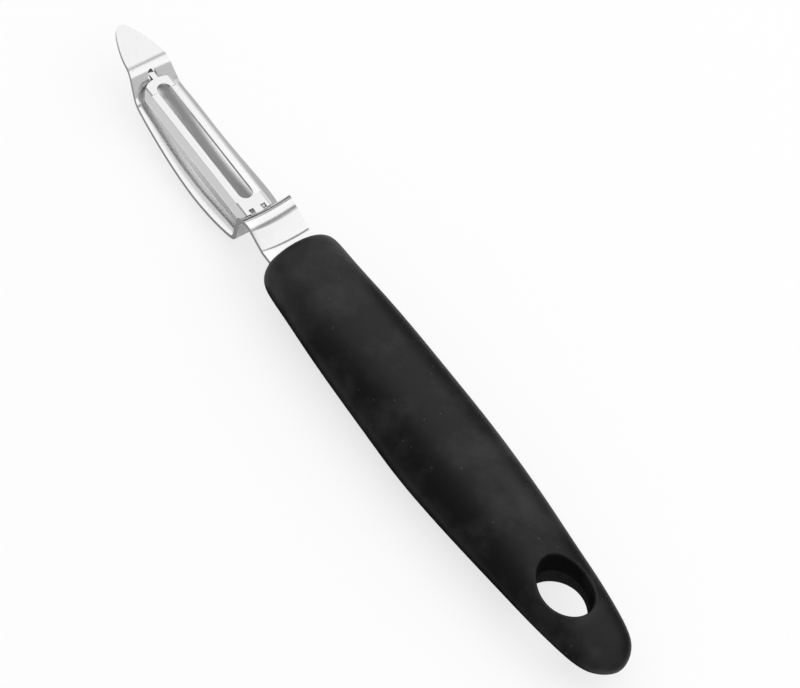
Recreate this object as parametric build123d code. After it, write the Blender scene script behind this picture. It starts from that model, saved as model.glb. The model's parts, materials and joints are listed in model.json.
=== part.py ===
from build123d import *
from math import hypot, radians, tan
import os

# A swivel vegetable peeler, in millimetres.
# +X runs from the eye-remover tip to the hanging hole, +Y across, +Z up.
# The origin is midway along the peeler, on the surface that the grip lies on.

# Lengths along the peeler, from butt to tip
grip_length = 126.4        # soft grip, front face to butt
neck_reach = 12.7          # grip's front face to the middle of the rear wall
bay_length = 47.0          # rear wall to the crease of the tip
leaf_length = 12.0         # the eye-remover leaf in front of the crease

# The grip
grip_width = 25.8
grip_depth = 18.4
grip_lift = 1.5            # how far the middle of its front face sits above the middle of its belly
grip_wall = 2.6            # rubber over the core
front_lean = 7.5           # degrees; the front face leans back towards its lower edge
hole_length = 15.0         # hanging hole at the parting line, along the grip
hole_width = 11.4
hole_from_butt = 21.8
hole_draft = 4.5           # degrees, opening towards both faces
hole_rim = 0.6             # rounding of the hole's rims

# The frame: one bent strip
strip = 1.0                # sheet thickness
neck_width = 13.2
bay_width = 16.3           # the strip at its widest, under the blade
crease_width = 10.7
tang_width = 9.0
tang_start = 6.0           # grip's front face to where the strip narrows
tang_taper = 6.0           # length over which it narrows
tang_length = 46.0
tang_height = 10.35        # middle of the tang above the resting surface
anchor_hole = 2.6          # radius of the holes that the core flows through
anchor_pitch = 15.0
hump_rise = 2.28           # hump above the tang
hump_length = 3.2
hump_fall = 6.1            # length of the slope behind the hump
hump_sag = 0.18
dish = 1.0                 # how far the hump's side edges stand above its middle
dish_arc = 30.0            # degrees of the dish on each side, more than the strip takes up
leaf_rise = 0.1            # how far the leaf climbs from crease to tip
crease_rise = 1.95         # crease above the tang
foot_reach = 5.45          # length of the sloping front wall
foot_drop = 3.38           # foot of the front wall below the tang
corner_drop = 4.7          # foot of the rear wall below the tang
bow_drop = 6.35            # where the floor's two runs would meet
crease_bend = 4.5          # bend radii, at the middle of the sheet
foot_bend = 4.5
bow_bend = 90.0
corner_bend = 0.9
hump_bend = 1.7
shoulder_bend = 7.0
neck_bend = 3.5

# The swivelling blade
pivot_rise = 0.15          # blade's axis above the tang
pivot_fit = 0.2            # radial play round the corners of the blade's tongues
sheet = 0.8                # blade thickness
blade_width = 9.9
skirt_flare = 0.1          # how far each skirt leans out
haunch_run = 1.65          # sloping shoulder between crown and skirt, across the blade
haunch_drop = 1.9          # and down it
nose_drop = 0.85           # depth of the blade at its front end
nose_length = 2.6          # how far its nose slopes back
front_drop = 2.0           # depth behind the nose
middle_drop = 4.0
rear_drop = 3.4
front_gap = 3.7            # crease to the blade's front end
rear_gap = 0.6             # rear wall to the blade's rear end
front_flat = 0.75          # half the straight part of the blade's front edge
rear_round = 2.4           # its rear corners, seen from above
haunch_lean = 25.0         # degrees; how an inset shortens crown and haunch
crown_bend = 1.4
haunch_bend = 0.7
slot_width = 3.75
slot_from_front = 1.85     # blade's front end to the slot
slot_from_rear = 4.0
grind_from_front = 3.55    # blade's front end to the ground facets
grind_from_rear = 4.3
grind_slope = 13.0         # degrees, falling away from the slot
front_tongue = 1.4         # width of the tongues
rear_tongue = 2.0
front_reach = 0.3          # front tongue past the crease
rear_reach = 0.9           # rear tongue past the back of the rear wall
notch_width = 1.3          # reliefs on both sides of the rear tongue
notch_depth = 1.2
reach = 60.0               # how far a cut runs, past anything that it cuts

# Outline of the grip: share of its length, width and depth, and of its lift
GRIP_SHARES = (
    (0.000, 0.570, 0.410, 1.06),
    (0.006, 0.660, 0.610, 0.94),
    (0.018, 0.775, 0.785, 0.82),
    (0.040, 0.826, 0.832, 0.64),
    (0.075, 0.846, 0.859, 0.52),
    (0.150, 0.899, 0.897, 0.48),
    (0.250, 0.950, 0.951, 0.35),
    (0.360, 0.979, 0.989, 0.16),
    (0.460, 0.998, 0.998, 0.00),
    (0.560, 0.971, 0.951, 0.12),
    (0.660, 0.911, 0.848, 0.28),
    (0.760, 0.833, 0.701, 0.33),
    (0.840, 0.766, 0.582, 0.42),
    (0.900, 0.688, 0.500, 0.46),
    (0.940, 0.608, 0.446, 0.48),
    (0.970, 0.483, 0.380, 0.52),
    (0.985, 0.350, 0.295, 0.55),
    (0.996, 0.182, 0.174, 0.58),
    (1.000, 0.050, 0.060, 0.58),
)
HOLE_LIFT = 0.42           # share of the grip's lift at the hanging hole
LEAN_SHARE = 0.15          # share of the grip over which the lean of its front face dies out
CORE_ROWS = slice(4, 11)   # the core reaches over these rows of the grip

# Half outline of the leaf and the bay, seen from above
LEAF_SHARES = ((0.05, 0.22), (0.16, 0.40), (0.42, 0.67), (0.72, 0.89))   # of leaf length, half crease width
BAY_SHARES = ((0.13, 0.78), (0.36, 0.90), (0.62, 0.985), (0.82, 1.0))    # of bay length, half bay width
WALL_SHARE = 0.88                                    # of half bay width, at the rear wall

# Places that follow from the sizes
overall_length = grip_length + neck_reach + bay_length + leaf_length
butt_x = overall_length / 2
grip_x = butt_x - grip_length
wall_x = grip_x - neck_reach
crease_x = wall_x - bay_length
tip_x = crease_x - leaf_length
foot_x = crease_x + foot_reach
tang_end_x = grip_x + tang_length
hole_x = butt_x - hole_from_butt
hole_z = grip_depth / 2 + HOLE_LIFT * grip_lift
dish_radius = (neck_width / 2) ** 2 / (2 * dish)
pivot_z = tang_height + pivot_rise
crown_z = pivot_z + sheet / 2
haunch_width = blade_width - 2 * skirt_flare
crown_width = haunch_width - 2 * haunch_run
front_round = blade_width / 2 - front_flat
pivot_hole = hypot(rear_tongue, sheet) / 2 + pivot_fit
blade_front_x = crease_x + front_gap
blade_rear_x = wall_x - strip / 2 - rear_gap


def grip_section(row, wall=0):
    """One ellipse across the grip, drawn in by a wall and leaning with the front face."""
    along, width, depth, lift = row
    height = grip_depth / 2 + lift * grip_lift
    lean = front_lean * max(0, 1 - along / LEAN_SHARE)
    place = Plane.YZ.offset(grip_x + along * grip_length) * Pos(0, height) * Rot(-lean, 0, 0)
    half_width = width * grip_width / 2 - wall
    half_depth = depth * grip_depth / 2 - wall
    return place * Ellipse(half_width, half_depth)


def strip_path():
    """The middle of the strip, seen from the side."""
    crest_z = tang_height + hump_rise
    return FilletPolyline(
        (tip_x, tang_height + crease_rise + leaf_rise),
        (crease_x, tang_height + crease_rise),
        (foot_x, tang_height - foot_drop),
        ((foot_x + wall_x) / 2, tang_height - bow_drop),
        (wall_x, tang_height - corner_drop),
        (wall_x, crest_z),
        (wall_x + hump_length, crest_z - hump_sag),
        (wall_x + hump_length + hump_fall, tang_height),
        (tang_end_x, tang_height),
        radius=[crease_bend, foot_bend, bow_bend, corner_bend, hump_bend, shoulder_bend, neck_bend],
    )


def strip_outline():
    """The strip's outline from above: leaf, bay, neck and tang."""
    side = [(tip_x, 0)]
    side += [(tip_x + a * leaf_length, b * crease_width / 2) for a, b in LEAF_SHARES]
    side += [(crease_x, crease_width / 2)]
    side += [(crease_x + a * bay_length, b * bay_width / 2) for a, b in BAY_SHARES]
    side += [(wall_x, WALL_SHARE * bay_width / 2)]
    neck_x = wall_x + hump_length
    shoulder_x = grip_x + tang_start
    edge = Spline(side + [(neck_x, neck_width / 2)], tangents=((0, 1), (1, 0)), tangent_scalars=(1, 1))
    edge += Polyline((neck_x, neck_width / 2), (shoulder_x, neck_width / 2),
                     (shoulder_x + tang_taper, tang_width / 2), (tang_end_x, tang_width / 2), (tang_end_x, 0))
    return make_face(edge + mirror(edge, Plane.XZ))


def pivot_bore(x_from, x_to):
    """A round bore along the blade's axis."""
    return extrude(Plane.YZ.offset(x_from) * Pos(0, pivot_z) * Circle(pivot_hole), x_to - x_from)


def blade_frame():
    """Leaf, front wall, bowed floor, rear wall, dished hump and tang: one bent strip."""
    profile = Plane.XZ * trace(strip_path(), line_width=strip)
    flat = extrude(profile, bay_width, both=True)
    hump_axis = Axis((0, 0, tang_height + hump_rise + dish_radius), (1, 0, 0))
    half_dish = revolve(profile, hump_axis, dish_arc)
    dished = half_dish + mirror(half_dish, Plane.XZ)
    corner = (Align.MIN, Align.CENTER, Align.MIN)
    behind = Pos(wall_x - strip, 0, tang_height - 2 * strip) * Box(reach, reach, reach, align=corner)
    frame = (flat - behind + (dished & behind)) & extrude(strip_outline(), reach)
    frame -= pivot_bore(crease_x - 2 * strip, foot_x)
    frame -= pivot_bore(wall_x - strip, wall_x + strip)
    for place in (-anchor_pitch, 0):
        anchor = Pos(tang_end_x + place - anchor_pitch / 2, 0, tang_height) * Cylinder(anchor_hole, 2 * strip)
        frame -= anchor
    return frame


def blade_section(inset):
    """The blade's cross-section, drawn in by an inset: crown, shoulders and skirts."""
    lean = inset * tan(radians(haunch_lean))
    half_crown = crown_width / 2 - lean
    half_haunch = haunch_width / 2 - inset
    half_foot = blade_width / 2 - inset
    haunch_z = crown_z - haunch_drop - lean
    foot_z = crown_z - middle_drop - sheet
    arch = FilletPolyline((-half_foot, foot_z), (-half_haunch, haunch_z), (-half_crown, crown_z - inset),
                          (half_crown, crown_z - inset), (half_haunch, haunch_z), (half_foot, foot_z),
                          radius=[haunch_bend, crown_bend, crown_bend, haunch_bend])
    return make_face(arch + Line((half_foot, foot_z), (-half_foot, foot_z)))


def blade_form(inset):
    """The blade as a solid block, drawn in by an inset on every side but its open foot."""
    front_x = blade_front_x + inset
    rear_x = blade_rear_x - inset
    length = rear_x - front_x
    bar = extrude(Plane.YZ.offset(front_x) * blade_section(inset), length)
    plan = Pos((front_x + rear_x) / 2, 0) * Rectangle(length, blade_width)
    ends = plan.vertices().group_by(Axis.X)
    plan = fillet(ends[0], front_round)
    plan = fillet(plan.vertices().group_by(Axis.X)[-1], rear_round)
    return bar & extrude(plan, reach)


def blade_side():
    """What the blade keeps, seen from the side: a sloping nose and a bowed foot."""
    nose_x = blade_front_x + nose_length
    front_x = blade_front_x - sheet
    rear_x = blade_rear_x + sheet
    top_z = crown_z + sheet
    outline = ThreePointArc((nose_x, crown_z - front_drop), ((nose_x + rear_x) / 2, crown_z - middle_drop),
                            (rear_x, crown_z - rear_drop))
    outline += Polyline((rear_x, crown_z - rear_drop), (rear_x, top_z), (front_x, top_z),
                        (front_x, crown_z - nose_drop), (blade_front_x, crown_z - nose_drop),
                        (nose_x, crown_z - front_drop))
    return extrude(Plane.XZ * make_face(outline), blade_width, both=True)


def grinding():
    """The wedges that the grinding wheel takes off beside the slot."""
    front_x = blade_front_x + grind_from_front
    length = blade_rear_x - grind_from_rear - front_x
    drop = (blade_width - slot_width) / 2 * tan(radians(grind_slope))
    wedge = make_face(Polyline((slot_width / 2, crown_z), (blade_width / 2, crown_z - drop),
                               (blade_width / 2, crown_z + sheet), (slot_width / 2, crown_z + sheet), close=True))
    cut = extrude(Plane.YZ.offset(front_x) * wedge, length)
    return cut + mirror(cut, Plane.XZ)


def peeling_blade():
    """The swivelling blade: a pressed channel with a slot, ground edges and a tongue at each end."""
    blade = blade_form(0) - blade_form(sheet)
    blade &= blade_side()
    blade -= grinding()
    slot_length = blade_rear_x - slot_from_rear - blade_front_x - slot_from_front
    slot_x = blade_front_x + slot_from_front + slot_length / 2
    blade -= Pos(slot_x, 0, crown_z) * extrude(SlotOverall(slot_length, slot_width), reach / 2, both=True)
    notch_y = (rear_tongue + notch_width) / 2
    for side in (-1, 1):
        blade -= Pos(blade_rear_x, side * notch_y, pivot_z) * Box(2 * notch_depth, notch_width, 2 * sheet)
    blade += tongue(crease_x - front_reach, blade_front_x + sheet, front_tongue)
    blade += tongue(blade_rear_x - sheet, wall_x + strip / 2 + rear_reach, rear_tongue)
    return blade


def tongue(x_from, x_to, width):
    """One flat tongue along the blade's axis."""
    return Pos((x_from + x_to) / 2, 0, pivot_z) * Box(x_to - x_from, width, sheet)


def hanging_hole():
    """The oval hole through the grip, opening from its parting line to both faces."""
    flare = grip_depth / 2 * tan(radians(hole_draft))
    throat = Pos(hole_x, 0, hole_z) * Ellipse(hole_length / 2, hole_width / 2)
    mouth = Ellipse(hole_length / 2 + flare, hole_width / 2 + flare)
    upper = loft([throat, Pos(hole_x, 0, hole_z + grip_depth / 2) * mouth])
    lower = loft([throat, Pos(hole_x, 0, hole_z - grip_depth / 2) * mouth])
    return upper + lower


def core_form():
    """The core before the tang is taken out of it."""
    return loft([grip_section(row, grip_wall) for row in GRIP_SHARES[CORE_ROWS]])


def handle_core(frame):
    """The hidden core, moulded round the tang and through its anchor holes."""
    return core_form() - frame


def handle_grip(frame):
    """The soft grip over the core, with the hanging hole through its solid end."""
    body = loft([grip_section(row) for row in GRIP_SHARES]) - hanging_hole()
    rims = [edge for edge in body.edges()
            if abs(edge.bounding_box().center().X - hole_x) < hole_rim and edge.geom_type != GeomType.ELLIPSE]
    return fillet(rims, hole_rim) - core_form() - frame


def main():
    """Build each sub-part and write it as a STEP file."""
    os.makedirs("parts", exist_ok=True)
    frame = blade_frame()
    nodes = {
        "blade_frame": frame,
        "peeling_blade": peeling_blade(),
        "handle_core": handle_core(frame),
        "handle_grip": handle_grip(frame),
    }
    for name, shape in nodes.items():
        export_step(shape, f"parts/{name}.step")
        print(name, round(shape.volume, 1), shape.is_valid, len(shape.solids()))


main()
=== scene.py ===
import json
from math import cos, pi, radians, sin

import bpy
from bpy.props import FloatProperty, FloatVectorProperty, PointerProperty
from mathutils import Matrix, Vector

bl_info = {
    "name": "Vegetable Peeler",
    "version": (1, 0, 0),
    "blender": (4, 5, 0),
    "location": "3D View > Sidebar > Peeler",
    "description": "Gives the packed peeler its steel and rubber and sets it on a plain stage",
    "category": "Object",
}

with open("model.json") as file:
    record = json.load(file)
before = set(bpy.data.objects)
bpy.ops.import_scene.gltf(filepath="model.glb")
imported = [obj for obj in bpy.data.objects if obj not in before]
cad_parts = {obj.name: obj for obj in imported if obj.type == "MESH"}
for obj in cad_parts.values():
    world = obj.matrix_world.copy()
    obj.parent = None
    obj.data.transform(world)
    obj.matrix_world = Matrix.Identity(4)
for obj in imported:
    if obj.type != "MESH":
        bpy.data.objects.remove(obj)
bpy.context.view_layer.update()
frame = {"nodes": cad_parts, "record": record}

MM = 0.001

# Zones of the strip: where a finish, or the bay's painted light and shade, starts, and where it is full
BAY_HEIGHT = (9 * MM, 7.5 * MM)         # above the floor
UNDER_BLADE = (-5.5 * MM, -4.5 * MM)    # across the peeler, its near side being negative
# Across the peeler: the bay's far side, which is painted darker, as painted shade
FAR_SIDE = (4.6 * MM, 5.6 * MM)         # across
LEAF = (-84 * MM, -88 * MM)             # along the peeler, its tip being negative
# The near side gets this share of the bay's painted light too
NEAR_SIDE_SHARE = 0.12  # how much of the bay's finish the near side has

# Sideways part of a normal, from where a face counts as a sheared edge, and where it does so fully
SHEARED = (0.55, 0.75)
# Upward part of a normal: on the ground edges of the blade, inside the blade, and on the hole's wall
GROUND_EDGE = (0.9, 0.95)
INSIDE_BLADE = (-0.3, -0.6)
HOLE_WALL = (0.5, 0.3)

# Height of a noise from where a mark starts, and where it is full
STRIP_PITS = (0.66, 0.78)
BLADE_PITS = (0.62, 0.8)
BLOOM = (0.42, 0.72)
# Distance from a speck's middle where it starts to show and where it is full, as shares of the spacing
SPECK = (0.09, 0.04)
SPECK_STRENGTH = 0.5    # how far a full speck hides the rubber
# Colour inside a pit, and in the paler flow of the core, as a share of the colour round it
STRIP_PIT_SHADE = 0.82
BLADE_PIT_SHADE = 0.93
FLOW_SHADE = 1.3
BLOOM_SIZE = 12 * MM
FLOW_SIZE = 4 * MM

EDGE_ROUGHNESS = 0.35
INSIDE_ROUGHNESS = 0.5
CORE_ROUGHNESS = 0.4
# The grinding marks run across the blade: across it their pattern changes at this share of its pace along it
MARK_PACE = 0.06
# How far the roughness of each finish wanders, as shares of its own value
STRIP_HAZE = (0.8, 1.3)
BLADE_HAZE = (1, 1.3)
RUBBER_HAZE = (0.92, 1.1)
# Relief: strength of the bump, and its height
STRIP_WAVES = {"Strength": 0.35, "Distance": 0.05 * MM}
STRIP_GRAIN = {"Strength": 0.02, "Distance": 0.01 * MM}
BLADE_WAVES = {"Strength": 0.3, "Distance": 0.04 * MM}
BLADE_MARKS = {"Strength": 0.15, "Distance": 0.01 * MM}
RUBBER_RELIEF = {"Strength": 0.35, "Distance": 0.03 * MM}

# The hole's wall is painted paler below its parting line, as painted light
# Distance from the hole's middle: upright faces nearer than this are its wall
HOLE_REACH = (8.7 * MM, 8.5 * MM)
PARTING_LINE = 0.15 * MM    # height over which the hole's wall changes colour

# Light panels in metres: name, reach along the peeler, reach across it
PANELS = (
    ("front_panel", (-0.85, -0.09), (-0.6, 1.0)),
    ("facet_panel", (-0.85, -0.09), (1.0, 1.7)),
    ("rear_panel", (0.09, 1.1), (-0.6, 1.3)),
)
# Black cards that stand on the floor, in metres: name, one lower corner, the other, height
CARDS = (
    ("left_card", (-0.02, -0.027), (0.135, -0.027), 0.12),
    ("right_card", (-0.032, 0.045), (0.135, 0.045), 0.033),
    ("front_card", (-0.16, -0.06), (-0.16, 0.16), 0.05),
    ("butt_card", (0.135, -0.06), (0.135, 0.1), 0.12),
)
# A black sheet that lies under the grip, as painted shade in reflections of the floor there, in metres: one
# corner, the other, height above the floor
PAINTED_SHADE_SHEET = ((-0.03, -0.022), (0.1, 0.016), 0.0002)
FLOOR_REACH = 4             # metres from the middle to each side
SENSOR_WIDTH = 36           # millimetres
# Upward part of a direction where the white surround starts to darken, and where the ceiling is darkest
CEILING = (0.2, 0.75)
CEILING_BRIGHTNESS = 0.3


def linear(hex_colour):
    """Turn an sRGB hex colour into the linear values that Blender works in."""
    channels = [int(hex_colour[i:i + 2], 16) / 255 for i in (1, 3, 5)]
    return [value / 12.92 if value <= 0.04045 else ((value + 0.055) / 1.055) ** 2.4 for value in channels]


def rgba(colour, shade=1):
    """A linear colour made lighter or darker by a share, with the fourth value that a socket wants."""
    return (*[shade * channel for channel in colour], 1)


def node(tree, kind, settings=None, values=None, links=None):
    """Add one node: its properties, its sockets' values, and the sockets that feed it.

    A Mix node's sockets go by number. Input 0 is the share, 2 and 3 are its numbers, and 6 and 7 its colours.
    Output 0 is its number, and 2 its colour.
    """
    new = tree.nodes.new(kind)
    for key, value in (settings or {}).items():
        setattr(new, key, value)
    for key, value in (values or {}).items():
        new.inputs[key].default_value = value
    for key, source in (links or {}).items():
        tree.links.new(source, new.inputs[key])
    return new


def new_material(name):
    """A material with a shader and an output: the material, its tree and its shader."""
    material = bpy.data.materials.new(name)
    material.use_nodes = True
    tree = material.node_tree
    tree.nodes.clear()
    shader = node(tree, "ShaderNodeBsdfPrincipled")
    node(tree, "ShaderNodeOutputMaterial", links={"Surface": shader.outputs["BSDF"]})
    return material, tree, shader


def dress(name, material):
    """Give one CAD node a single material."""
    slots = frame["nodes"][name].data.materials
    slots.clear()
    slots.append(material)


class SteelSettings(bpy.types.PropertyGroup):
    """Finish of the strip and of the blade."""
    strip_colour: FloatVectorProperty(
        name="Strip", description="Colour of the tumbled strip", subtype="COLOR",
        default=linear("#D9D9D9"), min=0, max=1)
    blade_colour: FloatVectorProperty(
        name="Blade", description="Colour of the pressed blade", subtype="COLOR",
        default=linear("#D4D4D4"), min=0, max=1)
    # Painted light: the bay is painted paler than the strip, to lift the shade under the blade
    painted_bay_light: FloatVectorProperty(
        name="Bay", description="Colour of the strip in the bay under the blade", subtype="COLOR",
        default=linear("#F2F2F2"), min=0, max=1)
    # Painted shade: the bay's far side is painted darker than its near side
    far_side_shade_colour: FloatVectorProperty(
        name="Mill skin", description="Colour of the bay's far side, which keeps its rolled skin",
        subtype="COLOR", default=linear("#ABABAB"), min=0, max=1)
    edge_colour: FloatVectorProperty(
        name="Cut edges", description="Colour of the sheared edges of the sheet", subtype="COLOR",
        default=linear("#8C8C8B"), min=0, max=1)
    strip_roughness: FloatProperty(
        name="Strip roughness", description="How far the tumbled strip blurs what it reflects",
        default=0.15, min=0, max=1, subtype="FACTOR")
    leaf_roughness: FloatProperty(
        name="Leaf roughness", description="The same on the leaf and its bend, where the strip is brushed",
        default=0.27, min=0, max=1, subtype="FACTOR")
    bay_roughness: FloatProperty(
        name="Bay roughness", description="The same in the bay, where the strip is left as rolled",
        default=0.4, min=0, max=1, subtype="FACTOR")
    blade_roughness: FloatProperty(
        name="Blade roughness", description="The same on the pressed blade",
        default=0.16, min=0, max=1, subtype="FACTOR")
    pit_size: FloatProperty(
        name="Pits", description="Spacing of the fine pits left by tumbling",
        default=0.45 * MM, unit="LENGTH")
    wave_size: FloatProperty(
        name="Waviness", description="Size of the shallow waves of a stamped sheet",
        default=7 * MM, unit="LENGTH")
    grind_size: FloatProperty(
        name="Grinding", description="Spacing of the grinding marks on the edges",
        default=0.35 * MM, unit="LENGTH")


class GripSettings(bpy.types.PropertyGroup):
    """Finish of the grip and of its hidden core."""
    dark_colour: FloatVectorProperty(
        name="Rubber", description="Main colour of the soft grip", subtype="COLOR",
        default=linear("#151516"), min=0, max=1)
    pale_colour: FloatVectorProperty(
        name="Bloom", description="Colour of the grip where it is slightly worn or dusty", subtype="COLOR",
        default=linear("#2C2C2C"), min=0, max=1)
    speck_colour: FloatVectorProperty(
        name="Specks", description="Colour of the fine specks of dust", subtype="COLOR",
        default=linear("#4A4A4A"), min=0, max=1)
    # Painted light: the hole's wall below its parting line is painted paler, standing in for light from below
    painted_hole_light: FloatVectorProperty(
        name="Hole", description="Colour of the hole's wall below its parting line", subtype="COLOR",
        default=linear("#303030"), min=0, max=1)
    core_colour: FloatVectorProperty(
        name="Core", description="Colour of the core", subtype="COLOR",
        default=linear("#222222"), min=0, max=1)
    roughness: FloatProperty(
        name="Roughness", description="How far the soft grip blurs what it reflects",
        default=0.47, min=0, max=1, subtype="FACTOR")
    texture_size: FloatProperty(
        name="Texture", description="Size of the mould's fine texture",
        default=0.3 * MM, unit="LENGTH")
    speck_size: FloatProperty(
        name="Speck spacing", description="Mean distance between specks",
        default=3 * MM, unit="LENGTH")
    hole_centre: FloatVectorProperty(
        name="Hole centre", description="Middle of the hole's parting line", subtype="XYZ", unit="LENGTH",
        default=frame["record"]["mounts"][0]["pos_m"])


class StageSettings(bpy.types.PropertyGroup):
    """Camera, floor and light."""
    azimuth: FloatProperty(
        name="Azimuth", description="Camera's turn about Z",
        default=radians(38.159), subtype="ANGLE")
    elevation: FloatProperty(
        name="Elevation", description="Camera's angle above the floor",
        default=radians(55.025), subtype="ANGLE")
    roll: FloatProperty(
        name="Roll", description="Camera's turn about its own axis",
        default=radians(18.897), subtype="ANGLE")
    aim: FloatVectorProperty(
        name="Aim", description="Point that the camera looks at",
        default=(10.51 * MM, 0, 23.87 * MM), subtype="XYZ", unit="LENGTH")
    distance: FloatProperty(
        name="Distance", description="Camera to aim",
        default=1338.9 * MM, unit="LENGTH")
    lens: FloatProperty(
        name="Lens", description="Focal length in millimetres on a 36 mm sensor",
        default=267.3, unit="CAMERA")
    floor_colour: FloatVectorProperty(
        name="Floor", description="Colour of the floor", subtype="COLOR",
        default=linear("#F4F4F4"), min=0, max=1)
    floor_lift: FloatProperty(
        name="Floor lift", description="Share of the floor that is white by itself",
        default=0.72, min=0, max=1, subtype="FACTOR")
    mirrored_lift: FloatProperty(
        name="Mirrored lift", description="The same where steel and rubber mirror the floor",
        default=0.1, min=0, max=1, subtype="FACTOR")
    # The same black colours the sheet under the grip, which is painted shade
    card_colour: FloatVectorProperty(
        name="Cards", description="Colour of the black cards and the felt", subtype="COLOR",
        default=linear("#1A1A1A"), min=0, max=1)
    sky: FloatProperty(
        name="Soft light", description="Strength of the light from all round",
        default=0.56, min=0)
    panel_brightness: FloatProperty(
        name="Panels", description="How bright the light panels are",
        default=1.05, min=0)
    panel_height: FloatProperty(
        name="Panel height", description="Light panels above the floor",
        default=0.9, unit="LENGTH")


class PEELER_OT_dress_steel(bpy.types.Operator):
    """Give the strip its tumbled finish and grind the blade"""
    bl_idname = "peeler.dress_steel"
    bl_label = "Dress the steel"

    def execute(self, context):
        look = context.scene.peeler_steel
        dress("blade_frame", tumbled_stainless(look))
        dress("peeling_blade", ground_stainless(look))
        return {"FINISHED"}


class PEELER_OT_dress_grip(bpy.types.Operator):
    """Give the grip its soft rubber and the core its plastic"""
    bl_idname = "peeler.dress_grip"
    bl_label = "Dress the grip"

    def execute(self, context):
        look = context.scene.peeler_grip
        dress("handle_grip", soft_touch_rubber(look))
        dress("handle_core", moulded_polypropylene(look))
        return {"FINISHED"}


class PEELER_OT_set_stage(bpy.types.Operator):
    """Add the floor, the cards, the light and the camera"""
    bl_idname = "peeler.set_stage"
    bl_label = "Set the stage"

    def execute(self, context):
        stage = context.scene.peeler_stage
        add_floor(context.scene, stage)
        add_cards(context.scene, stage)
        add_world(context.scene, stage)
        add_light_panels(context.scene, stage)
        add_camera(context.scene, stage)
        return {"FINISHED"}


class PEELER_PT_sidebar(bpy.types.Panel):
    """Settings and steps of the peeler"""
    bl_idname = "PEELER_PT_sidebar"
    bl_label = "Vegetable peeler"
    bl_space_type = "VIEW_3D"
    bl_region_type = "UI"
    bl_category = "Peeler"

    def draw(self, context):
        steps = (("peeler_steel", SteelSettings, "peeler.dress_steel"),
                 ("peeler_grip", GripSettings, "peeler.dress_grip"),
                 ("peeler_stage", StageSettings, "peeler.set_stage"))
        for group, settings, operator in steps:
            box = self.layout.box()
            for name in settings.__annotations__:
                box.prop(getattr(context.scene, group), name)
            box.operator(operator)


def sheared_edge(tree, facing):
    """One on the sheared edges of the strip, which face sideways, and zero on its rolled faces."""
    sideways = node(tree, "ShaderNodeMath", {"operation": "ABSOLUTE"}, links={0: facing.outputs["Y"]})
    return node(tree, "ShaderNodeMapRange", values={"From Min": SHEARED[0], "From Max": SHEARED[1]},
                links={"Value": sideways.outputs[0]})


def bay_finish_and_light(tree, where):
    """How far the strip has the bay's finish and its painted light: fully under the blade and beyond, little
    on the near side.
    """
    low = node(tree, "ShaderNodeMapRange", values={"From Min": BAY_HEIGHT[0], "From Max": BAY_HEIGHT[1]},
               links={"Value": where.outputs["Z"]})
    covered = node(tree, "ShaderNodeMapRange",
                   values={"From Min": UNDER_BLADE[0], "From Max": UNDER_BLADE[1], "To Min": NEAR_SIDE_SHARE},
                   links={"Value": where.outputs["Y"]})
    return node(tree, "ShaderNodeMath", {"operation": "MULTIPLY"},
                links={0: low.outputs["Result"], 1: covered.outputs["Result"]})


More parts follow.
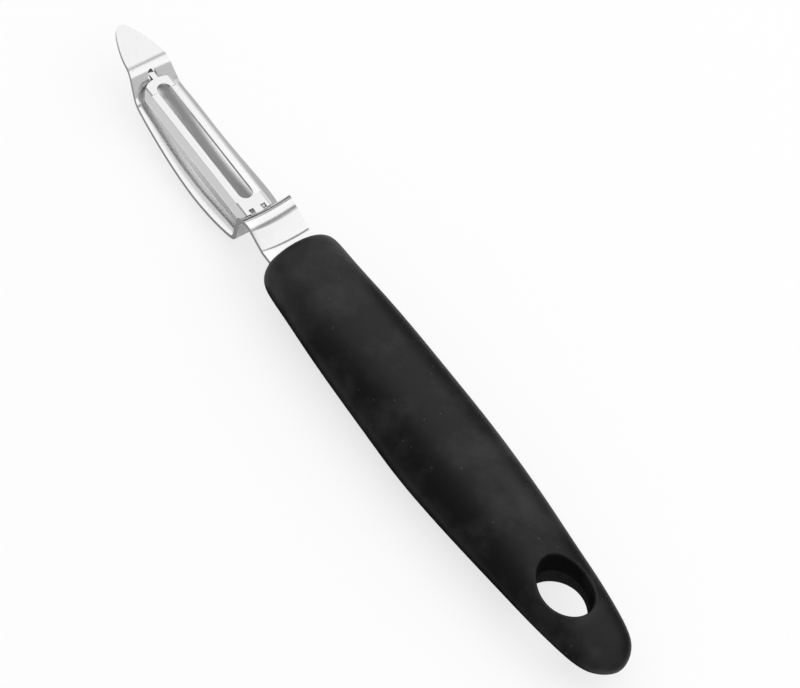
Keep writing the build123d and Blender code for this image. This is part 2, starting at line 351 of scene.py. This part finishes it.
def tumbled_stainless(look):
    """Stainless strip, stamped, bent and tumbled in stones.

    The hump is bright and reflects nearly all of the studio. The leaf is brushed and blurs it more. The bay,
    which the stones hardly reach, stays dull as rolled. Its colour is painted paler than the strip, as
    painted light that lifts the shade under the blade, and its far side is painted darker, as painted shade.
    The stamping leaves the sheet faintly wavy, so that reflections wander. The tumbling leaves a scatter of
    pits, drawn wider apart than real ones, so that they show.
    """
    material, tree, shader = new_material("tumbled_stainless_strip")
    coordinates = node(tree, "ShaderNodeTexCoord")
    place = coordinates.outputs["Object"]
    where = node(tree, "ShaderNodeSeparateXYZ", links={0: place})
    facing = node(tree, "ShaderNodeSeparateXYZ", links={0: coordinates.outputs["Normal"]})
    edge = sheared_edge(tree, facing)
    bay = bay_finish_and_light(tree, where)
    far_side = node(tree, "ShaderNodeMapRange", values={"From Min": FAR_SIDE[0], "From Max": FAR_SIDE[1]},
                    links={"Value": where.outputs["Y"]})
    leaf = node(tree, "ShaderNodeMapRange", values={"From Min": LEAF[0], "From Max": LEAF[1]},
                links={"Value": where.outputs["X"]})
    waves = node(tree, "ShaderNodeTexNoise", values={"Scale": 1 / look.wave_size, "Detail": 1},
                 links={"Vector": place})
    grain = node(tree, "ShaderNodeTexNoise", values={"Scale": 1 / look.pit_size, "Detail": 2},
                 links={"Vector": place})
    pits = node(tree, "ShaderNodeMapRange", values={"From Min": STRIP_PITS[0], "From Max": STRIP_PITS[1]},
                links={"Value": grain.outputs["Fac"]})

    tumbled = node(tree, "ShaderNodeMix", {"data_type": "RGBA"},
                   {6: rgba(look.strip_colour), 7: rgba(look.strip_colour, STRIP_PIT_SHADE)},
                   {0: pits.outputs["Result"]})
    # Painted light and shade in the bay: paler than the strip under the blade, darker on its far side
    far_side_shade = node(tree, "ShaderNodeMix", {"data_type": "RGBA"},
                {6: rgba(look.painted_bay_light), 7: rgba(look.far_side_shade_colour)}, {0: far_side.outputs["Result"]})
    # Under the blade the tumbled colour gives way to the bay's painted light and shade
    rolled = node(tree, "ShaderNodeMix", {"data_type": "RGBA"},
                  links={0: bay.outputs[0], 6: tumbled.outputs[2], 7: far_side_shade.outputs[2]})
    colour = node(tree, "ShaderNodeMix", {"data_type": "RGBA"}, {7: rgba(look.edge_colour)},
                  {0: edge.outputs["Result"], 6: rolled.outputs[2]})

    gloss = node(tree, "ShaderNodeMapRange",
                 values={"To Min": look.strip_roughness * STRIP_HAZE[0],
                         "To Max": look.strip_roughness * STRIP_HAZE[1]},
                 links={"Value": waves.outputs["Fac"]})
    brushed = node(tree, "ShaderNodeMix", {"data_type": "FLOAT"}, {3: look.leaf_roughness},
                   {0: leaf.outputs["Result"], 2: gloss.outputs["Result"]})
    satin = node(tree, "ShaderNodeMix", {"data_type": "FLOAT"}, {3: look.bay_roughness},
                 {0: bay.outputs[0], 2: brushed.outputs[0]})
    haze = node(tree, "ShaderNodeMix", {"data_type": "FLOAT"}, {3: EDGE_ROUGHNESS},
                {0: edge.outputs["Result"], 2: satin.outputs[0]})
    sway = node(tree, "ShaderNodeBump", values=STRIP_WAVES, links={"Height": waves.outputs["Fac"]})
    relief = node(tree, "ShaderNodeBump", values=STRIP_GRAIN,
                  links={"Height": grain.outputs["Fac"], "Normal": sway.outputs["Normal"]})

    shader.inputs["Metallic"].default_value = 1
    tree.links.new(colour.outputs[2], shader.inputs["Base Color"])
    tree.links.new(haze.outputs[0], shader.inputs["Roughness"])
    tree.links.new(relief.outputs["Normal"], shader.inputs["Normal"])
    return material


def ground_stainless(look):
    """Stainless blade, pressed from hardened sheet, its cutting edges ground on a wheel.

    The pressed shoulders are satin bright, and the inside of the channel is duller. The wheel leaves fine
    marks across the edges, drawn coarser than the real hundredths of a millimetre, so that they show.
    """
    material, tree, shader = new_material("ground_stainless_blade")
    coordinates = node(tree, "ShaderNodeTexCoord")
    place = coordinates.outputs["Object"]
    facing = node(tree, "ShaderNodeSeparateXYZ", links={0: coordinates.outputs["Normal"]})
    ground = node(tree, "ShaderNodeMapRange",
                  values={"From Min": GROUND_EDGE[0], "From Max": GROUND_EDGE[1]},
                  links={"Value": facing.outputs["Z"]})
    inside = node(tree, "ShaderNodeMapRange",
                  values={"From Min": INSIDE_BLADE[0], "From Max": INSIDE_BLADE[1]},
                  links={"Value": facing.outputs["Z"]})
    across = node(tree, "ShaderNodeMapping", values={"Scale": (1, MARK_PACE, MARK_PACE)},
                  links={"Vector": place})
    marks = node(tree, "ShaderNodeTexNoise", values={"Scale": 1 / look.grind_size, "Detail": 2},
                 links={"Vector": across.outputs["Vector"]})
    waves = node(tree, "ShaderNodeTexNoise", values={"Scale": 1 / look.wave_size, "Detail": 1},
                 links={"Vector": place})
    grain = node(tree, "ShaderNodeTexNoise", values={"Scale": 1 / look.pit_size, "Detail": 2},
                 links={"Vector": place})
    pits = node(tree, "ShaderNodeMapRange", values={"From Min": BLADE_PITS[0], "From Max": BLADE_PITS[1]},
                links={"Value": grain.outputs["Fac"]})

    colour = node(tree, "ShaderNodeMix", {"data_type": "RGBA"},
                  {6: rgba(look.blade_colour), 7: rgba(look.blade_colour, BLADE_PIT_SHADE)},
                  {0: pits.outputs["Result"]})
    depth = node(tree, "ShaderNodeMath", {"operation": "MULTIPLY"},
                 links={0: marks.outputs["Fac"], 1: ground.outputs["Result"]})
    gloss = node(tree, "ShaderNodeMapRange",
                 values={"To Min": look.blade_roughness * BLADE_HAZE[0],
                         "To Max": look.blade_roughness * BLADE_HAZE[1]},
                 links={"Value": depth.outputs[0]})
    haze = node(tree, "ShaderNodeMix", {"data_type": "FLOAT"}, {3: INSIDE_ROUGHNESS},
                {0: inside.outputs["Result"], 2: gloss.outputs["Result"]})
    sway = node(tree, "ShaderNodeBump", values=BLADE_WAVES, links={"Height": waves.outputs["Fac"]})
    relief = node(tree, "ShaderNodeBump", values=BLADE_MARKS,
                  links={"Height": depth.outputs[0], "Normal": sway.outputs["Normal"]})

    shader.inputs["Metallic"].default_value = 1
    tree.links.new(colour.outputs[2], shader.inputs["Base Color"])
    tree.links.new(haze.outputs[0], shader.inputs["Roughness"])
    tree.links.new(relief.outputs["Normal"], shader.inputs["Normal"])
    return material


def lower_hole_wall(tree, coordinates, centre):
    """One on the wall of the hanging hole below its parting line, where its light is painted, and zero on the
    rest of the grip.
    """
    place = coordinates.outputs["Object"]
    where = node(tree, "ShaderNodeSeparateXYZ", links={0: place})
    facing = node(tree, "ShaderNodeSeparateXYZ", links={0: coordinates.outputs["Normal"]})
    flat = node(tree, "ShaderNodeVectorMath", {"operation": "MULTIPLY"}, {1: (1, 1, 0)}, {0: place})
    away = node(tree, "ShaderNodeVectorMath", {"operation": "DISTANCE"},
                {1: (centre[0], centre[1], 0)}, {0: flat.outputs[0]})
    near = node(tree, "ShaderNodeMapRange", values={"From Min": HOLE_REACH[0], "From Max": HOLE_REACH[1]},
                links={"Value": away.outputs["Value"]})
    below = node(tree, "ShaderNodeMapRange",
                 values={"From Min": centre[2], "From Max": centre[2] - PARTING_LINE},
                 links={"Value": where.outputs["Z"]})
    upward = node(tree, "ShaderNodeMath", {"operation": "ABSOLUTE"}, links={0: facing.outputs["Z"]})
    upright = node(tree, "ShaderNodeMapRange", values={"From Min": HOLE_WALL[0], "From Max": HOLE_WALL[1]},
                   links={"Value": upward.outputs[0]})
    lower = node(tree, "ShaderNodeMath", {"operation": "MULTIPLY"},
                 links={0: near.outputs["Result"], 1: below.outputs["Result"]})
    return node(tree, "ShaderNodeMath", {"operation": "MULTIPLY"},
                links={0: lower.outputs[0], 1: upright.outputs["Result"]})


def soft_touch_rubber(look):
    """Soft-touch thermoplastic rubber, moulded over the core in a spark-eroded mould.

    It is nearly black and matt, with a broad soft sheen, a faint bloom and a few specks of dust. The texture
    of the mould is drawn coarser than the real hundredths of a millimetre, so that it shows. The hole's wall
    is painted paler below its parting line: painted light, standing in for light from below.
    """
    material, tree, shader = new_material("soft_touch_rubber")
    coordinates = node(tree, "ShaderNodeTexCoord")
    place = coordinates.outputs["Object"]
    bloom = node(tree, "ShaderNodeTexNoise",
                 values={"Scale": 1 / BLOOM_SIZE, "Detail": 4, "Roughness": 0.6}, links={"Vector": place})
    texture = node(tree, "ShaderNodeTexNoise", values={"Scale": 1 / look.texture_size, "Detail": 2},
                   links={"Vector": place})
    cells = node(tree, "ShaderNodeTexVoronoi", values={"Scale": 1 / look.speck_size}, links={"Vector": place})
    specks = node(tree, "ShaderNodeMapRange",
                  values={"From Min": SPECK[0], "From Max": SPECK[1], "To Max": SPECK_STRENGTH},
                  links={"Value": cells.outputs["Distance"]})
    smudges = node(tree, "ShaderNodeMapRange", values={"From Min": BLOOM[0], "From Max": BLOOM[1]},
                   links={"Value": bloom.outputs["Fac"]})
    hole = lower_hole_wall(tree, coordinates, look.hole_centre)

    worn = node(tree, "ShaderNodeMix", {"data_type": "RGBA"},
                {6: rgba(look.dark_colour), 7: rgba(look.pale_colour)}, {0: smudges.outputs["Result"]})
    dusty = node(tree, "ShaderNodeMix", {"data_type": "RGBA"}, {7: rgba(look.speck_colour)},
                 {0: specks.outputs["Result"], 6: worn.outputs[2]})
    # Painted light on the hole's wall below its parting line
    colour = node(tree, "ShaderNodeMix", {"data_type": "RGBA"}, {7: rgba(look.painted_hole_light)},
                  {0: hole.outputs[0], 6: dusty.outputs[2]})
    haze = node(tree, "ShaderNodeMapRange",
                values={"To Min": look.roughness * RUBBER_HAZE[0], "To Max": look.roughness * RUBBER_HAZE[1]},
                links={"Value": bloom.outputs["Fac"]})
    relief = node(tree, "ShaderNodeBump", values=RUBBER_RELIEF, links={"Height": texture.outputs["Fac"]})

    shader.inputs["IOR"].default_value = 1.5
    shader.inputs["Specular IOR Level"].default_value = 0.25
    tree.links.new(colour.outputs[2], shader.inputs["Base Color"])
    tree.links.new(haze.outputs["Result"], shader.inputs["Roughness"])
    tree.links.new(relief.outputs["Normal"], shader.inputs["Normal"])
    return material


def moulded_polypropylene(look):
    """Polypropylene, injection moulded and left as it leaves the mould: dark, waxy and slightly uneven."""
    material, tree, shader = new_material("moulded_polypropylene")
    place = node(tree, "ShaderNodeTexCoord").outputs["Object"]
    flow = node(tree, "ShaderNodeTexNoise", values={"Scale": 1 / FLOW_SIZE, "Detail": 3},
                links={"Vector": place})
    colour = node(tree, "ShaderNodeMix", {"data_type": "RGBA"},
                  {6: rgba(look.core_colour), 7: rgba(look.core_colour, FLOW_SHADE)},
                  {0: flow.outputs["Fac"]})
    shader.inputs["IOR"].default_value = 1.49
    shader.inputs["Roughness"].default_value = CORE_ROUGHNESS
    tree.links.new(colour.outputs[2], shader.inputs["Base Color"])
    return material


def white_to_the_eye(tree, straight=1, mirrored=1):
    """How far a surface is white by itself: a share for the camera, one for mirrors and glass, else none."""
    path = node(tree, "ShaderNodeLightPath")
    in_metal = node(tree, "ShaderNodeMath", {"operation": "MAXIMUM"},
                    links={0: path.outputs["Is Glossy Ray"], 1: path.outputs["Is Transmission Ray"]})
    share = node(tree, "ShaderNodeMath", {"operation": "MULTIPLY"}, {1: mirrored}, {0: in_metal.outputs[0]})
    return node(tree, "ShaderNodeMath", {"operation": "MULTIPLY_ADD"}, {1: straight},
                {0: path.outputs["Is Camera Ray"], 2: share.outputs[0]})


def add_card(scene, name, corners, material):
    """A flat four-cornered piece of the stage."""
    mesh = bpy.data.meshes.new(name)
    mesh.from_pydata(corners, [], [(0, 1, 2, 3)])
    mesh.materials.append(material)
    card = bpy.data.objects.new(name, mesh)
    scene.collection.objects.link(card)
    return card


def matt_board(name, colour):
    """Painted board or felt, matt all over, with no sheen: the material, its tree and its shader."""
    material, tree, shader = new_material(name)
    shader.inputs["Base Color"].default_value = rgba(colour)
    shader.inputs["Roughness"].default_value = 1
    shader.inputs["Specular IOR Level"].default_value = 0
    return material, tree, shader


def add_floor(scene, stage):
    """A wide floor under the grip, partly lit, so that it takes a shadow, and partly white by itself."""
    material, tree, shader = matt_board("matt_white_board", stage.floor_colour)
    glow = node(tree, "ShaderNodeEmission", values={"Color": rgba(linear("#FFFFFF")), "Strength": 1})
    lift = white_to_the_eye(tree, stage.floor_lift, stage.mirrored_lift)
    surface = node(tree, "ShaderNodeMixShader",
                   links={0: lift.outputs[0], 1: shader.outputs[0], 2: glow.outputs[0]})
    tree.links.new(surface.outputs[0], tree.nodes["Material Output"].inputs["Surface"])
    corners = [(FLOOR_REACH * x, FLOOR_REACH * y, 0) for x, y in ((-1, -1), (1, -1), (1, 1), (-1, 1))]
    add_card(scene, "floor", corners, material)


def add_cards(scene, stage):
    """Black cards, as a photographer sets them by bright metal, and a black sheet under the grip, as painted
    shade of the floor beneath it. Only reflections show them.
    """
    material = matt_board("black_card", stage.card_colour)[0]
    # A black sheet under the grip: painted shade of the floor in reflections
    (x_from, y_from), (x_to, y_to), lift = PAINTED_SHADE_SHEET
    sheet = [(x_from, y_from, lift), (x_to, y_from, lift), (x_to, y_to, lift), (x_from, y_to, lift)]
    cards = [(name, [(*start, 0), (*end, 0), (*end, height), (*start, height)])
             for name, start, end, height in CARDS]
    for name, corners in [("painted_shade_sheet", sheet)] + cards:
        card = add_card(scene, name, corners, material)
        card.visible_camera = False
        card.visible_diffuse = False
        card.visible_shadow = False
        card.visible_transmission = False


def add_world(scene, stage):
    """A white surround for the eye under a grey ceiling, and a plain soft light for matt surfaces."""
    world = bpy.data.worlds.new("studio")
    scene.world = world
    world.use_nodes = True
    tree = world.node_tree
    tree.nodes.clear()
    white = rgba(linear("#FFFFFF"))
    direction = node(tree, "ShaderNodeTexCoord").outputs["Generated"]
    upward = node(tree, "ShaderNodeSeparateXYZ", links={0: direction}).outputs["Z"]
    ceiling = node(tree, "ShaderNodeMapRange", {"interpolation_type": "SMOOTHSTEP"},
                   {"From Min": CEILING[0], "From Max": CEILING[1],
                    "To Min": 1, "To Max": CEILING_BRIGHTNESS},
                   {"Value": upward})
    seen = node(tree, "ShaderNodeBackground", values={"Color": white},
                links={"Strength": ceiling.outputs["Result"]})
    light = node(tree, "ShaderNodeBackground", values={"Color": white, "Strength": stage.sky})
    surround = node(tree, "ShaderNodeMixShader",
                    links={0: white_to_the_eye(tree).outputs[0], 1: light.outputs[0], 2: seen.outputs[0]})
    node(tree, "ShaderNodeOutputWorld", links={"Surface": surround.outputs[0]})


def add_light_panels(scene, stage):
    """Three soft panels overhead: one in front, one beyond it for the blade's facets, and one behind.

    The bends of the strip show the dark gap between front and rear as a grey band. How bright a panel looks
    is its power over pi times its area.
    """
    for name, (x_from, x_to), (y_from, y_to) in PANELS:
        light = bpy.data.lights.new(name, "AREA")
        light.shape = "RECTANGLE"
        light.size = x_to - x_from
        light.size_y = y_to - y_from
        light.energy = pi * stage.panel_brightness * light.size * light.size_y
        lamp = bpy.data.objects.new(name, light)
        lamp.location = ((x_from + x_to) / 2, (y_from + y_to) / 2, stage.panel_height)
        scene.collection.objects.link(lamp)


def add_camera(scene, stage):
    """The camera of the photograph: turned, raised, and rolled about its own axis."""
    turn, rise, roll = stage.azimuth, stage.elevation, stage.roll
    back = Vector((sin(turn) * cos(rise), -cos(turn) * cos(rise), sin(rise)))
    right = Vector((cos(turn), sin(turn), 0))
    up = back.cross(right)
    axes = Matrix((cos(roll) * right + sin(roll) * up, cos(roll) * up - sin(roll) * right, back)).transposed()
    data = bpy.data.cameras.new("camera")
    data.sensor_width = SENSOR_WIDTH
    data.lens = stage.lens
    camera = bpy.data.objects.new("camera", data)
    camera.matrix_world = Matrix.Translation(Vector(stage.aim) + stage.distance * back) @ axes.to_4x4()
    scene.collection.objects.link(camera)
    scene.camera = camera
    scene.view_settings.view_transform = "Standard"


CLASSES = (SteelSettings, GripSettings, StageSettings, PEELER_OT_dress_steel, PEELER_OT_dress_grip,
           PEELER_OT_set_stage, PEELER_PT_sidebar)


def register():
    for cls in CLASSES:
        bpy.utils.register_class(cls)
    bpy.types.Scene.peeler_steel = PointerProperty(type=SteelSettings)
    bpy.types.Scene.peeler_grip = PointerProperty(type=GripSettings)
    bpy.types.Scene.peeler_stage = PointerProperty(type=StageSettings)


def unregister():
    del bpy.types.Scene.peeler_steel
    del bpy.types.Scene.peeler_grip
    del bpy.types.Scene.peeler_stage
    for cls in reversed(CLASSES):
        bpy.utils.unregister_class(cls)


def main():
    """Dress the peeler and set the stage."""
    register()
    bpy.ops.peeler.dress_steel()
    bpy.ops.peeler.dress_grip()
    bpy.ops.peeler.set_stage()


if __name__ == "__main__":
    main()
